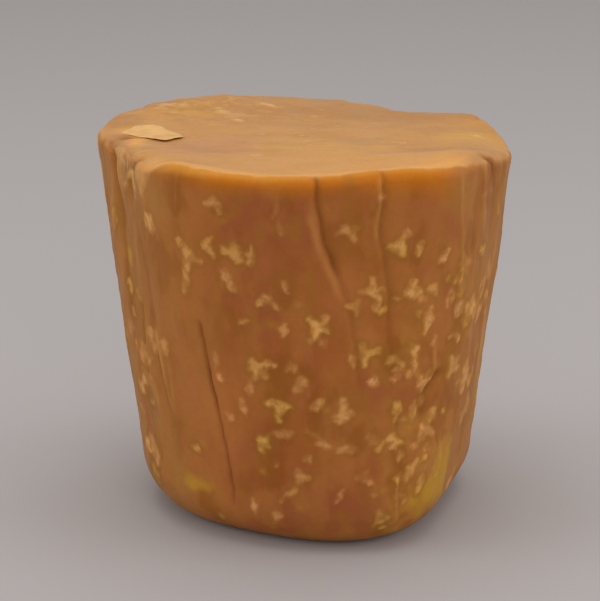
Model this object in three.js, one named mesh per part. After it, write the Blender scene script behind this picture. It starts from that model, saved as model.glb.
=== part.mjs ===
// A block of jaggery: raw cane sugar boiled down, poured into a tapered bucket mould lined with a
// loose sheet, and turned out when set. It stands on its narrow end. The wide end was the open
// end of the mould, so it is nearly level, with a small rounded rim and a shallow dish. The sides keep
// the pleats and creases of the lining sheet.
//
// Millimetres, +Z up, the origin at the centre of the base. A turn is an angle about Z in degrees,
// 0 at the front (-Y) and growing towards the right (+X).

import * as THREE from "three";

// ---- Driving dimensions ---------------------------------------------------------------------------

const HEIGHT = 101; // from the base to the mean level of the rim
const TOP_RADIUS = 55; // mean radius where the side would meet the rim's level
const BASE_RADIUS = 44; // mean radius where the side would meet the floor
const BASE_EDGE = 15.5; // radius of the rounded edge round the base
const RIM_EDGE = 3; // radius of the rounded edge round the rim
const DISH = 1.6; // how far the middle of the top lies below the rim

// The mould's lining pulls the outline out of round. Each wave is a share of the radius: it
// stands out count times round the block, first at its turn.
const TOP_WAVES = [
  { count: 2, share: 0.008, turn: 49 },
  { count: 3, share: 0.008, turn: 11 },
  { count: 4, share: 0.02, turn: -26 },
  { count: 5, share: 0.028, turn: 36 },
];
const BASE_WAVES = [
  { count: 2, share: 0.036, turn: 37 },
  { count: 3, share: 0.036, turn: 6 },
  { count: 4, share: 0.047, turn: 28 },
];

// The rim isn't level: the sugar was poured against a loose lining. Each wave is in millimetres.
const RIM_WAVES = [
  { count: 1, rise: 1.3, turn: -48 },
  { count: 2, rise: 1.2, turn: 32 },
  { count: 3, rise: 0.3, turn: -41 },
  { count: 4, rise: 1.2, turn: 42 },
];
const RIM_WAVE_REACH = 3; // the power of the height share that a rim wave fades with, down the side

// Dips where the rim slumped into a fold of the lining: depth and half width in millimetres. A
// dip of negative depth is a swelling.
const RIM_DIPS = [
  { turn: -49, depth: 1.8, width: 9 },
  { turn: 55, depth: 1.5, width: 4 },
  { turn: 92, depth: 3, width: 13 },
  { turn: 121, depth: -1, width: 8 },
  { turn: 148, depth: 1.4, width: 8 },
];

// Creases that folds of the lining left in the side. Each runs from a turn at its upper end to a
// turn at its lower end. Heights are shares of HEIGHT; depth and half width are in millimetres.
const CREASES = [
  { upper: 2, lower: 16, from: 1.05, to: 0.4, depth: 1.3, width: 2.2 },
  { upper: 10, lower: 13, from: 1.05, to: 0.55, depth: 0.6, width: 2.6 },
  { upper: 19, lower: 23, from: 1.05, to: 0.42, depth: 1.1, width: 2.2 },
  { upper: -32, lower: -25, from: 0.64, to: 0.14, depth: 1.1, width: 2.2 },
  { upper: -57, lower: -52, from: 1.05, to: 0.3, depth: 1.3, width: 2.8 },
  { upper: -71, lower: -69, from: 1.05, to: 0.45, depth: 1.1, width: 3 },
  { upper: 52, lower: 42, from: 0.45, to: 0.27, depth: 1.1, width: 2.4 },
  { upper: 34, lower: 39, from: 0.27, to: 0.06, depth: 1, width: 2.4 },
  { upper: 51, lower: 57, from: 1.05, to: 0.5, depth: 1.1, width: 2.6 },
  { upper: 62, lower: 72, from: 1.05, to: 0.35, depth: 1.3, width: 2.8 },
  { upper: 96, lower: 88, from: 0.8, to: 0.2, depth: 1, width: 2.6 },
  { upper: 118, lower: 124, from: 1.05, to: 0.3, depth: 1.3, width: 2.8 },
  { upper: 149, lower: 143, from: 1.05, to: 0.45, depth: 1.4, width: 2.6 },
  { upper: 176, lower: 182, from: 0.7, to: 0.1, depth: 1.1, width: 2.6 },
  { upper: -158, lower: -150, from: 1.05, to: 0.35, depth: 1.3, width: 2.8 },
  { upper: -124, lower: -129, from: 1.05, to: 0.2, depth: 1.1, width: 2.6 },
  { upper: -98, lower: -92, from: 0.75, to: 0.15, depth: 1, width: 2.6 },
];
const CREASE_FADE = 0.08; // share of HEIGHT over which a crease dies out at each end

// How finely the skin is cut into flat faces.
const COLUMNS = 132;
const ROWS = { base: 3, baseEdge: 7, side: 11, rimEdge: 4, top: 7 };

const JAGGERY = new THREE.MeshStandardMaterial({
  color: 0xb4733a,
  roughness: 0.55,
  metalness: 0,
});

// ---- The mean profile -----------------------------------------------------------------------------

// Half of the block's mean section, from the middle of the base out, up the side and in to the middle
// of the top. Both rounded edges are arcs that meet their neighbours smoothly.
function meanProfile() {
  const lean = Math.atan2(TOP_RADIUS - BASE_RADIUS, HEIGHT);
  const sideRadius = (z) => BASE_RADIUS + z * Math.tan(lean);
  const edgeRadius = (z, edge) => sideRadius(z) - edge / Math.cos(lean);

  const base = new THREE.Vector2(edgeRadius(BASE_EDGE, BASE_EDGE), BASE_EDGE);
  const rim = new THREE.Vector2(
    edgeRadius(HEIGHT - RIM_EDGE, RIM_EDGE),
    HEIGHT - RIM_EDGE,
  );
  const onEdge = (centre, edge, angle) =>
    new THREE.Vector2(Math.cos(angle), Math.sin(angle))
      .multiplyScalar(edge)
      .add(centre);

  const flat = new THREE.LineCurve(
    new THREE.Vector2(0, 0),
    new THREE.Vector2(base.x, 0),
  );
  const side = new THREE.LineCurve(
    onEdge(base, BASE_EDGE, -lean),
    onEdge(rim, RIM_EDGE, -lean),
  );
  const dish = new THREE.QuadraticBezierCurve(
    new THREE.Vector2(rim.x, HEIGHT),
    new THREE.Vector2(rim.x / 2, HEIGHT - DISH),
    new THREE.Vector2(0, HEIGHT - DISH),
  );
  const arc = (centre, edge, start, end) =>
    new THREE.EllipseCurve(centre.x, centre.y, edge, edge, start, end);

  const stretches = [
    [flat, ROWS.base],
    [arc(base, BASE_EDGE, -Math.PI / 2, -lean), ROWS.baseEdge],
    [side, ROWS.side],
    [arc(rim, RIM_EDGE, -lean, Math.PI / 2), ROWS.rimEdge],
    [dish, ROWS.top],
  ];
  const points = stretches.flatMap(([curve, rows]) =>
    curve.getPoints(rows).slice(0, -1),
  );
  return [...points, new THREE.Vector2(0, HEIGHT - DISH)];
}

// ---- How the lining bends that profile ------------------------------------------------------------

// The sum of some waves round the block, at one turn.
function wavesAt(waves, turn, key) {
  return waves.reduce(
    (sum, wave) =>
      sum +
      wave[key] *
        Math.cos(THREE.MathUtils.degToRad(wave.count * (turn - wave.turn))),
    0,
  );
}

// The smaller angle from one turn to another, from -180 to 180 degrees.
function turnBetween(a, b) {
  return THREE.MathUtils.euclideanModulo(a - b + 180, 360) - 180;
}

// 1 at distance 0, falling smoothly as a bell whose half width is width.
function bell(distance, width) {
  return Math.exp(-((distance / width) ** 2));
}

// How far the creases cut into the side at a turn, a height and a radius there.
function creaseDepth(turn, z, radius) {
  const share = z / HEIGHT;
  return CREASES.reduce((sum, crease) => {
    const along = (crease.from - share) / (crease.from - crease.to);
    const path = THREE.MathUtils.lerp(crease.upper, crease.lower, along);
    const away = THREE.MathUtils.degToRad(turnBetween(turn, path)) * radius;
    const shown =
      THREE.MathUtils.smoothstep(share, crease.to, crease.to + CREASE_FADE) *
      (1 - THREE.MathUtils.smoothstep(share, crease.from, crease.from + CREASE_FADE));
    return sum + crease.depth * shown * bell(away, crease.width);
  }, 0);
}

// How far the rim dips at a turn.
function rimDip(turn) {
  return RIM_DIPS.reduce((sum, dip) => {
    const away = THREE.MathUtils.degToRad(turnBetween(turn, dip.turn)) * TOP_RADIUS;
    return sum + dip.depth * bell(away, dip.width);
  }, 0);
}

// Moves one point of the round mean shape to its place on the block.
function bendPoint(point) {
  const radius = Math.hypot(point.x, point.y);
  if (radius < 1e-6) return point;
  const turn = THREE.MathUtils.radToDeg(Math.atan2(point.x, -point.y));
  const share = point.z / HEIGHT;
  const outline = THREE.MathUtils.lerp(
    1 + wavesAt(BASE_WAVES, turn, "share"),
    1 + wavesAt(TOP_WAVES, turn, "share"),
    share,
  );
  // Creases and dips stay near the side. The rim's waves fade out slowly towards the middle.
  const outwards = radius / THREE.MathUtils.lerp(BASE_RADIUS, TOP_RADIUS, share);
  const onSide = THREE.MathUtils.smoothstep(outwards, 0.8, 0.96);
  const rise = wavesAt(RIM_WAVES, turn, "rise") * outwards ** 2 - rimDip(turn) * onSide;
  const bent = radius * outline - onSide * creaseDepth(turn, point.z, radius);
  point.x *= bent / radius;
  point.y *= bent / radius;
  point.z += rise * share ** RIM_WAVE_REACH;
  return point;
}

// ---- The block ------------------------------------------------------------------------------------

function blockGeometry() {
  const geometry = new THREE.LatheGeometry(meanProfile(), COLUMNS);
  geometry.rotateX(Math.PI / 2);
  const position = geometry.getAttribute("position");
  const point = new THREE.Vector3();
  for (let i = 0; i < position.count; i += 1) {
    bendPoint(point.fromBufferAttribute(position, i));
    position.setXYZ(i, point.x, point.y, point.z);
  }
  // The origin is the centre of the base of the block's own box.
  geometry.computeBoundingBox();
  const centre = geometry.boundingBox.getCenter(new THREE.Vector3());
  geometry.translate(-centre.x, -centre.y, -geometry.boundingBox.min.z);
  geometry.computeVertexNormals();
  return geometry;
}

const block = new THREE.Mesh(blockGeometry(), JAGGERY);
block.name = "jaggery_block";

const part = new THREE.Group();
part.add(block);

export default part;
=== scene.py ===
# %% [markdown]
# # A block of jaggery
#
# Jaggery is raw cane sugar. The juice is boiled down to a thick amber paste, poured into a tapered
# bucket mould lined with a loose sheet, and turned out when it has set. This block stands on its
# narrow end. Its wide end was the open end of the mould: it dried in the air, so it is paler and
# nearly level. The sides are smooth and waxy, keep every pleat of the lining, and are flecked with
# pale patches of dry sugar.
#
# Everything here is a surface worked out with numpy. The loaded frame gives the block's place and
# its outer size, and each step below adds one thing that makes it look like jaggery.

import math

import bpy
import numpy as np
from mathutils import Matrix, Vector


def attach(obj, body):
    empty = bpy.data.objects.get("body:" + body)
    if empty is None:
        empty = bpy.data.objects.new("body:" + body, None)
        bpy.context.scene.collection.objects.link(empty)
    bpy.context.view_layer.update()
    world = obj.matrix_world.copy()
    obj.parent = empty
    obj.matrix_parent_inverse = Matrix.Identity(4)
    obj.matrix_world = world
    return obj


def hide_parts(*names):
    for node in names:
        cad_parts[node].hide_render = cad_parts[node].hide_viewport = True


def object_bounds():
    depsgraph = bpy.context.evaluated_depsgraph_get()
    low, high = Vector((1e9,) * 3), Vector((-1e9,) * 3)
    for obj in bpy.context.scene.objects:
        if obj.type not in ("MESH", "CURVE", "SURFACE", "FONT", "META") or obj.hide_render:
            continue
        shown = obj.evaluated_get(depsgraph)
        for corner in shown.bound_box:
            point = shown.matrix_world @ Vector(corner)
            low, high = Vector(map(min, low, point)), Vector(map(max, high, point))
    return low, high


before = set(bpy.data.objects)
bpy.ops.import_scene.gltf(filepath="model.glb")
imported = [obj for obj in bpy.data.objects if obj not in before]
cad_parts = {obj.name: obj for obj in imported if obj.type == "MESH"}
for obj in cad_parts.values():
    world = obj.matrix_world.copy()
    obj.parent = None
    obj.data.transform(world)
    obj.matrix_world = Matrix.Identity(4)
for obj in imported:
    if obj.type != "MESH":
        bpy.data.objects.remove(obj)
cad_box = [list(corner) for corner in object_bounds()]
print("the block's box in metres:", cad_box)

# %% [markdown]
# ## Turn and height
#
# A point on the skin is named by its turn, an angle in degrees about the upright axis, 0 at the
# front and growing to the right, and by its height in millimetres. The lining's pleats run down
# the mould, so nearly everything on the block is easy to say that way. Three small functions are
# used all the way through: a bell, a smooth step, and the distance along the skin between turns. Soft
# oval spots made from the bell are listed by place, and carry most of the bumps and colours below.

# %% Small shaping functions
MM = 0.001


def bell(distance, width):
    """1 at distance 0, falling smoothly to about a third at width: e to the -(distance/width)^2."""
    return np.exp(-((distance / width) ** 2))


def smooth(x, start, end):
    """0 before start, 1 after end, and a smooth S between them: 3t^2 - 2t^3. End may be below start."""
    t = np.clip((x - start) / (end - start), 0, 1)
    return t * t * (3 - 2 * t)


def turn_between(a, b):
    """The smaller angle from turn b to turn a, from -180 to 180 degrees."""
    return (a - b + 180) % 360 - 180


def skin_distance(turn, other, radius):
    """Millimetres along the skin from one turn to another: the angle in radians times the radius."""
    return np.radians(turn_between(turn, other)) * radius


def spot(across, upwards, wide, high):
    """A soft oval spot: a bell of the distance from its middle, with its own reach each way."""
    return bell(np.hypot(across / wide, upwards / high), 1)


def side_spots(turn, z, spots, join=sum):
    """Soft spots on the side, added up or joined another way. Each: strength, turn and height of its
    middle, and reach in degrees and in millimetres."""
    return join([
        strength * spot(turn_between(turn, at), z - level, wide, high)
        for strength, at, level, wide, high in spots
    ])


def top_spots(place, spots, join=sum):
    """The same on the top. Each: strength, x and y of its middle, and reach along x and along y."""
    x, y = place[:, 0], place[:, 1]
    return join([
        strength * spot(x - right, y - back, wide, deep) for strength, right, back, wide, deep in spots
    ])


strongest = np.maximum.reduce
print("a bell is", bell(np.array([0.0, 1.0, 2.0]), 1.0).round(2), "at 0, 1 and 2 widths")

# %% [markdown]
# ## Noise that can be repeated
#
# Poured sugar is never quite even. Blender's own textures could push the mesh about, but the same
# unevenness also has to steer the colour, so it is worked out here: a lattice of seeded random
# numbers, blended smoothly between its points. A cell that is taller than it is wide gives streaks
# that run down the side, like the lining's.


# %% Lattice noise
LATTICE = 32  # cells along each side before the random numbers repeat
LAYERED_HEIGHT = 1.4  # about how high three layers reach when they are added up


def noise(place, cell, seed):
    """Smooth noise from -1 to 1. Space is cut into cells, each corner has a seeded random number, and
    the eight corners round a place are blended with quintic weights, 6t^5 - 15t^4 + 10t^3."""
    table = np.random.default_rng(seed).uniform(-1, 1, (LATTICE,) * 3)
    counted = place / np.asarray(cell, float)
    low = np.floor(counted).astype(int)
    t = counted - low
    t = t**3 * (t * (t * 6 - 15) + 10)
    total = np.zeros(len(place))
    for corner in np.ndindex(2, 2, 2):
        i, j, k = ((low + corner) % LATTICE).T
        weight = np.prod(np.where(corner, t, 1 - t), axis=1)
        total += weight * table[i, j, k]
    return total


def layered_noise(place, cell, seed, layers=3):
    """Several noises added up, each with cells half the size of the last and half its height."""
    cell = np.asarray(cell, float)
    parts = [noise(place, cell / 2**n, seed + n) / 2**n for n in range(layers)]
    return sum(parts) / LAYERED_HEIGHT


print("noise at the middle:", noise(np.zeros((1, 3)) + 0.5, 1.0, 3).round(3))

# %% [markdown]
# ## The mean profile
#
# Cut the block down the middle and half of the cut is a simple profile: a flat floor, a large
# rounded edge, a straight leaning side, a small rounded rim, and a top that dips a little towards
# the middle. It could be drawn as a curve and spun. Here each stretch is a formula for its radius,
# height and outward direction, because the rows are then placed where detail is wanted: close
# together round the rim, further apart on the floor.

# %% Profile rows
HEIGHT = 101.0
TOP_RADIUS = 55.0
BASE_RADIUS = 44.0
BASE_EDGE = 15.5
RIM_EDGE = 2.6
DISH = 1.6
FLOOR_HOLE = 0.18  # the innermost floor ring, as a share of the flat floor's radius
TOP_BAND = 3.2  # how far in from the rim the rows on the top go
FLOOR_ROWS, BASE_ROWS, SIDE_ROWS, RIM_ROWS, TOP_ROWS = 5, 26, 127, 12, 6
LEAN = math.atan2(TOP_RADIUS - BASE_RADIUS, HEIGHT)


def edge_radius(z, edge):
    """How far out a rounded edge's centre is at height z, for its arc to touch the leaning side."""
    return BASE_RADIUS + z * math.tan(LEAN) - edge / math.cos(LEAN)


FLOOR_RADIUS = edge_radius(BASE_EDGE, BASE_EDGE)
RIM_RADIUS = edge_radius(HEIGHT - RIM_EDGE, RIM_EDGE)
RIM_FOOT = HEIGHT - RIM_EDGE - RIM_EDGE * math.sin(LEAN)


def arc(radius, z, edge, start, end, rows):
    """Rows on a rounded edge: its centre plus edge times the cosine and sine of an angle."""
    angle = np.linspace(start, end, rows, endpoint=False)
    across, up = np.cos(angle), np.sin(angle)
    return np.stack([radius + edge * across, z + edge * up, across, up], axis=1)


def top_row(radius):
    """Rows on the top: a shallow bowl, lower by DISH times 1 - (radius / rim radius)^2."""
    radius = np.asarray(radius, float)
    z = HEIGHT - DISH * (1 - (radius / RIM_RADIUS) ** 2)
    return np.stack([radius, z, np.zeros_like(radius), np.ones_like(radius)], axis=-1)


def profile_rows():
    """All the rows from the floor's middle to the top's outer part: radius, height, and direction."""
    ring = FLOOR_RADIUS * np.linspace(FLOOR_HOLE, 1, FLOOR_ROWS + 1)[:-1]
    floor = np.stack([ring, 0 * ring, 0 * ring, 0 * ring - 1], axis=1)
    base = arc(FLOOR_RADIUS, BASE_EDGE, BASE_EDGE, -math.pi / 2, -LEAN, BASE_ROWS)
    rim = arc(RIM_RADIUS, HEIGHT - RIM_EDGE, RIM_EDGE, -LEAN, math.pi / 2, RIM_ROWS)
    foot = arc(FLOOR_RADIUS, BASE_EDGE, BASE_EDGE, -LEAN, 0, 1)
    share = np.linspace(0, 1, SIDE_ROWS + 1)[:-1, None]
    side = foot + share * (rim[:1] - foot)
    top = top_row(RIM_RADIUS - np.linspace(0, TOP_BAND, TOP_ROWS))
    return np.concatenate([floor, base, side, rim, top])


rows = profile_rows()
CAP_RADIUS = rows[-1, 0]
print(len(rows), "rows; the top's inner part starts", round(CAP_RADIUS, 1), "mm out")

# %% [markdown]
# ## The grid
#
# The rows are carried round the block in columns. The top needs care: if all the columns met at its
# middle, their long thin faces would pinch the light. So the inner part of the top is a square
# grid of cells pressed into a disc. Each square ring of it becomes a round ring, and its outermost
# ring has one corner for every column, so the two parts join with no gap.

# %% Columns, cap and their faces
COLUMNS = 480
RINGS = COLUMNS // 8
FRONT_CROWDING = 0.25


def crowd(angle):
    """Turns with the columns closer together at the front: the angle less a part of its own sine."""
    return np.degrees(angle - FRONT_CROWDING * np.sin(angle))


def cap_grid():
    """A square of cells pressed into a disc. A cell's ring is the larger of its x and y counts. Its
    place round the ring, counted along the square's edge from the front, gives its angle."""
    x, y = np.meshgrid(np.arange(-RINGS, RINGS + 1), np.arange(-RINGS, RINGS + 1))
    ring = np.maximum(abs(x), abs(y))
    along = np.select(
        [y == -ring, x == ring, y == ring],
        [x, 2 * ring + y, 4 * ring - x],
        6 * ring - y,
    )
    return ring, along % np.maximum(8 * ring, 1)


cap_ring, cap_along = cap_grid()
inside = cap_ring < RINGS
wall_turn, wall_row = np.meshgrid(
    crowd(2 * np.pi * np.arange(COLUMNS) / COLUMNS), np.arange(len(rows))
)
cap_turn = crowd(2 * np.pi * cap_along / np.maximum(8 * cap_ring, 1))[inside]
cap_rows = top_row(CAP_RADIUS * cap_ring[inside] / RINGS)
pole_row = np.array([[0.0, 0.0, 0.0, -1.0]])

turn = np.concatenate([wall_turn.ravel(), cap_turn, [0.0]])
around = turn_between(turn, 0)  # from -180 to 180
radius, z, out, up = np.concatenate([rows[wall_row.ravel()], cap_rows, pole_row]).T


def grid_faces():
    """Quads between neighbouring rows and columns, quads of the cap, and a fan that closes the floor.
    Each is listed anticlockwise as seen from outside."""
    index = np.arange(len(rows) * COLUMNS).reshape(len(rows), COLUMNS)
    right = np.roll(index, -1, axis=1)
    wall = np.stack([index[:-1], right[:-1], right[1:], index[1:]], axis=-1)
    cap = np.where(inside, 0, index[-1][cap_along % COLUMNS])
    cap[inside] = index.size + np.arange(inside.sum())
    lid = np.stack([cap[:-1, :-1], cap[:-1, 1:], cap[1:, 1:], cap[1:, :-1]], axis=-1)
    pole = np.full(COLUMNS, index.size + inside.sum())
    fan = np.stack([pole, right[0], index[0]], axis=-1)
    return wall.reshape(-1, 4), lid.reshape(-1, 4), fan


wall_faces, lid_faces, fan_faces = grid_faces()
print(len(turn), "points,", len(wall_faces) + len(lid_faces), "quads")

# %% [markdown]
# ## Out of round
#
# The mould's lining pulled the block out of round: the base is nearly a soft square, the top has
# five faint lobes, and the rim isn't level. Each is a sum of a few waves round the block. Nearly the
# same waves and dips shaped the frame's solid, so the skin made here lies close to it all round.

# %% Waves and dips
# Each wave: how often it goes round, its size, and the turn of its first crest. An outline's sizes
# are shares of the radius, and the rim's are in millimetres.
TOP_WAVES = [(2, 0.008, 49), (3, 0.008, 11), (4, 0.02, -26), (5, 0.028, 36)]
BASE_WAVES = [(2, 0.036, 37), (3, 0.036, 6), (4, 0.047, 28)]
RIM_WAVES = [(1, 1.3, -48), (2, 1.2, 32), (3, 0.3, -41), (4, 1.2, 42)]
# Each: turn, depth and half width. A dip of negative depth is a swelling.
RIM_DIPS = [
    (-49, 1.8, 9),
    (-36, -0.7, 7),
    (39, 1.6, 11),
    (55, 0.5, 6),
    (92, 3, 13),
    (121, -1, 8),
    (148, 1.4, 8),
]


def waves(turn, parts):
    """The sum of height times cos(count times the angle from the first crest)."""
    return sum(size * np.cos(np.radians(count * (turn - crest))) for count, size, crest in parts)


def bend(turn, radius, z):
    """The mean profile pulled out of round. The outline grows by waves that change from the base's to
    the top's, and the rim rises and dips, less and less further down and further in."""
    share = z / HEIGHT
    outwards = radius / (BASE_RADIUS + share * (TOP_RADIUS - BASE_RADIUS))
    outline = 1 + (1 - share) * waves(turn, BASE_WAVES) + share * waves(turn, TOP_WAVES)
    dips = sum(
        depth * bell(skin_distance(turn, at, TOP_RADIUS), width) for at, depth, width in RIM_DIPS
    )
    rise = waves(turn, RIM_WAVES) * outwards**2 - dips * smooth(outwards, 0.8, 0.96)
    return radius * outline, z + rise * share**3


def to_xyz(turn, radius, z):
    """Turn, radius and height as x, y and z, in millimetres: the front is -y and the right is +x."""
    angle = np.radians(turn)
    return np.stack([radius * np.sin(angle), -radius * np.cos(angle), z], axis=-1)


bent_radius, bent_z = bend(turn, radius, z)
place = to_xyz(turn, bent_radius, bent_z)
print("out-of-round size in mm:", np.ptp(place, axis=0).round(1))

# %% [markdown]
# ## How far below the rim
#
# The rim matters more than any height: the lining's marks stop there, and the colour changes within
# a few millimetres of it. So each point also gets its distance down the profile from the rim's
# crest, which is negative on the top.


# %% Distance below the rim
def rim_distance(radius, z, out, up):
    """Millimetres down the profile from the rim's crest: on the rounded rim its radius times the angle
    from straight up, plus the length of side below that. On the top, minus the way in from the rim."""
    over = RIM_EDGE * np.arctan2(out, up)
    down = np.clip(RIM_FOOT - z, 0, None) / math.cos(LEAN)
    return over + down - np.where(up > 0.999, RIM_RADIUS - radius, 0)


below_rim = rim_distance(radius, z, out, up)
on_side = smooth(below_rim, -0.5, 2.0)
over_rim = smooth(below_rim, -2.0, 0.8)
on_top = 1 - smooth(below_rim, -2.0, 1.0)
floor_fade = smooth(z, 0.3, 7)
print("the floor's middle is", below_rim.max().round(1), "mm below the rim along the skin")

# %% [markdown]
# ## Creases
#
# Where the lining folded over on itself it left a crease: a narrow dark groove in a shallow valley,
# often with the skin standing a little higher on one side of it. Each is a path down the side,
# given as heights with the turn the path has there. A crease could be carved with sculpting strokes.
# A formula is used because the groove's shade can then also be painted into the colour, in exactly
# the right place.

# %% Creases in the side
# Each: depth and width of the groove, how much higher its left side stands, then (height, turn)
# from its upper end.
CREASES = [
    (0.9, 0.72, 0.45, [(106, 2), (93, 2.5), (86, 3.7), (80, 6), (75, 8), (72, 9.3)]),
    (0.4, 0.9, 0.35, [(80, 6), (75, 8), (69, 10.5), (64, 12), (60, 12.5), (49, 14.5), (42, 16)]),
    (0.6, 0.75, 0.5, [(106, 20), (95, 19.5), (87, 19), (79, 20.5), (69, 22), (57, 22.5)]),
    (0.35, 0.7, 0.2, [(58, 22.5), (50, 23), (42, 24)]),
    (0.95, 0.6, -0.35, [(59, -32.8), (55, -32.3), (47, -31.5), (39, -30.4), (34, -29.4)]),
    (0.8, 0.5, -0.3, [(46, -31.4), (39, -30.4), (30.4, -28.3), (25, -27.1), (16, -26.6), (9, -26.4)]),
    (0.35, 1.6, -0.3, [(84, -60), (74, -56), (63, -54), (53, -55)]),
    (0.6, 0.7, -0.5, [(52, -55), (40, -52), (31, -49.5)]),
    (0.5, 0.9, 0.2, [(60, -62), (50, -63), (38, -62)]),
    (0.4, 1.5, 0.3, [(84, -75), (70, -73), (60, -72), (44, -71)]),
    (0.4, 2.8, 0.1, [(103, -84), (98, -80), (90, -78), (84, -74), (76, -71)]),
    (0.7, 2.2, 0.1, [(106, -87), (101, -86), (98, -80.5), (94, -79), (88, -78.5)]),
    (0.6, 1.4, 0.2, [(101, -57), (97, -59), (92, -62.2), (86, -62.6)]),
    (0.95, 1.7, 0.15, [(46.5, 39.9), (45, 37), (42.4, 35), (39, 34.6), (33, 34.3)]),
    (0.4, 0.7, 0.2, [(33, 39), (31, 40.5), (27, 43.5), (24, 46)]),
    (0.45, 0.6, 1.2, [(36, 26.2), (27, 27.3), (20, 28), (9, 29.5), (4, 30)]),
    (1.05, 1.6, 0.1, [(106, 56), (101, 57.4), (97, 60), (93, 61.5), (91, 62)]),
    (0.25, 1.7, 0.2, [(95, 60.5), (80, 65), (66, 67.5), (48, 70)]),
    (0.25, 1.2, 0.2, [(92, 50), (82, 51), (66, 52)]),
    (1.0, 1.2, 0.3, [(84, 96), (60, 93), (24, 88)]),
    (1.1, 0.9, 0.5, [(99, 118), (80, 120), (32, 124)]),
    (1.2, 0.6, 0.5, [(106, 149), (75, 147), (46, 143)]),
    (0.9, 0.5, 0.3, [(76, 176), (45, 178), (14, 182)]),
    (1.2, 0.8, -0.5, [(106, -158), (72, -155), (36, -150)]),
    (0.9, 0.6, 0.4, [(106, -124), (65, -126), (22, -129)]),
    (0.9, 0.9, 0.3, [(80, -98), (50, -95), (18, -92)]),
]
CREASE_FADE = 7.0  # the length over which a crease dies out
VALLEY_SHARE, VALLEY_WIDTH = 0.25, 3.5  # a valley's part of the depth, and how many grooves wide it is
STEP_SHARE = 0.35  # how much of a step stands on each side of the groove
DARKEST = 1.1  # a groove this deep is as dark as any


def along_path(path, z):
    """The path's turn at each height, in straight runs, and how much of the crease is left there: it
    dies out slowly at its lower end and faster at its upper end."""
    heights, turns = np.array(path[::-1], float).T
    fade = min(CREASE_FADE, 0.4 * (heights[-1] - heights[0]))
    left = smooth(z, heights[0], heights[0] + fade)
    left = left * (1 - smooth(z, heights[-1], heights[-1] + 0.5 * fade))
    return np.interp(z, heights, turns), left


def carve_creases(place, turn, radius, z):
    """How far the creases push the skin, and how much painted shade each point gets from them, from 0
    to 1. A crease is a narrow bell cut in, a wider shallow valley, and a step: minus tanh of the
    distance to the right of the path, under a wide bell, so the step dies out on both sides. The
    painted shade is a narrow bell and a faint wide one, a little to its right."""
    push, groove = np.zeros_like(z), np.zeros_like(z)
    wander = 0.35 * noise(place, 5, 11) + 0.2 * noise(place, 2, 12)
    for depth, width, step, path in CREASES:
        at, left = along_path(path, z)
        left = left * over_rim
        away = skin_distance(turn, at, radius) + wander
        cut = (1 - VALLEY_SHARE) * bell(away, width) + VALLEY_SHARE * bell(away, VALLEY_WIDTH * width)
        push -= left * depth * cut
        push -= left * STEP_SHARE * step * np.tanh(away / width) * bell(away, 3 + 3 * width)
        # Painted shade: darkest in the groove, fainter a little to its right.
        shade = 0.75 * bell(away, 0.75 * width) + 0.25 * bell(away - 0.5 * width, 2.4 * width)
        groove = np.maximum(groove, left * min(depth / DARKEST, 1) * shade)
    return push, groove


crease_push, groove = carve_creases(place, turn, radius, z)
print(len(CREASES), "creases, the deepest", -crease_push.min().round(2), "mm")

# %% [markdown]
# ## Pleats
#
# Between the creases the lining was only gathered, most of all where the mould's wall curved
# tightly, at the left and right of the front and here and there behind. Those are soft ridges and
# valleys that start at the rim and die out lower down. The ones that show most have a place of
# their own, and the rest are drawn by lot from a seed.

# %% Pleats in the side
# Each: height, width, then (height, turn) from its upper end. A negative height is a valley.
PLEATS = [
    (0.3, 1.3, [(90, 0.5), (84, 2.2), (78, 5), (72, 7.5), (66, 9.5)]),
    (-0.35, 2.4, [(106, 10.5), (92, 11), (78, 11)]),
    (0.35, 0.8, [(98, 18), (93, 18.7), (87, 17.8), (80, 18.5)]),
    (0.35, 0.8, [(97, 42), (90, 43), (78, 45), (62, 47)]),
    (0.35, 1.2, [(98, 53), (90, 55), (78, 57)]),
    (0.4, 0.9, [(98, 64), (92, 67), (80, 68)]),
    (-0.3, 1.8, [(98, 49), (80, 50), (62, 51)]),
    (-0.4, 2.2, [(54, 44), (48, 42), (43, 38), (38, 36)]),
    (0.35, 0.8, [(54, 37.5), (48, 38), (43, 35.5)]),
    (0.4, 3.0, [(106, -72), (98, -70), (92, -74), (86, -71)]),
    (0.35, 2.4, [(106, -58), (100, -56), (93, -52), (86, -49)]),
    (-0.3, 2.4, [(98, -63), (92, -64), (86, -62)]),
    (-0.5, 2.0, [(106, -86), (97, -80), (90, -77), (80, -75), (70, -74)]),
    (0.2, 0.5, [(99, -35.3), (93, -36.5), (87, -37)]),
    (0.4, 0.9, [(54, -53), (42, -51), (31, -48.5)]),
    (0.35, 1.8, [(80, -61), (55, -61), (30, -58)]),
    (0.35, 1.6, [(48, -48), (30, -47)]),
    (0.4, 0.8, [(27, 44), (22, 45.5), (17, 45.5)]),
    (0.35, 2.0, [(60, 58), (40, 57), (26, 55)]),
]
PLEATS_BY_LOT = 50


def drawn_pleats():
    """Pleats all round except where the front is smooth, each at a random turn, lean and reach."""
    lot = np.random.default_rng(5)
    found = []
    for centre in np.linspace(62, 298, PLEATS_BY_LOT):
        at = centre + lot.uniform(-2, 2)
        upper = 106 - 40 * lot.random() ** 2.5
        lower = upper - lot.uniform(25, 75)
        lean = lot.uniform(-5, 5)
        size = lot.uniform(0.2, 0.65) * lot.choice([-1, 1, 1])
        size *= 0.35 + 0.65 * smooth(abs(turn_between(at, 0)), 78, 110)
        found.append((size, lot.uniform(0.9, 2.4), [(upper, at), (lower, at + lean)]))
    return found


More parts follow.
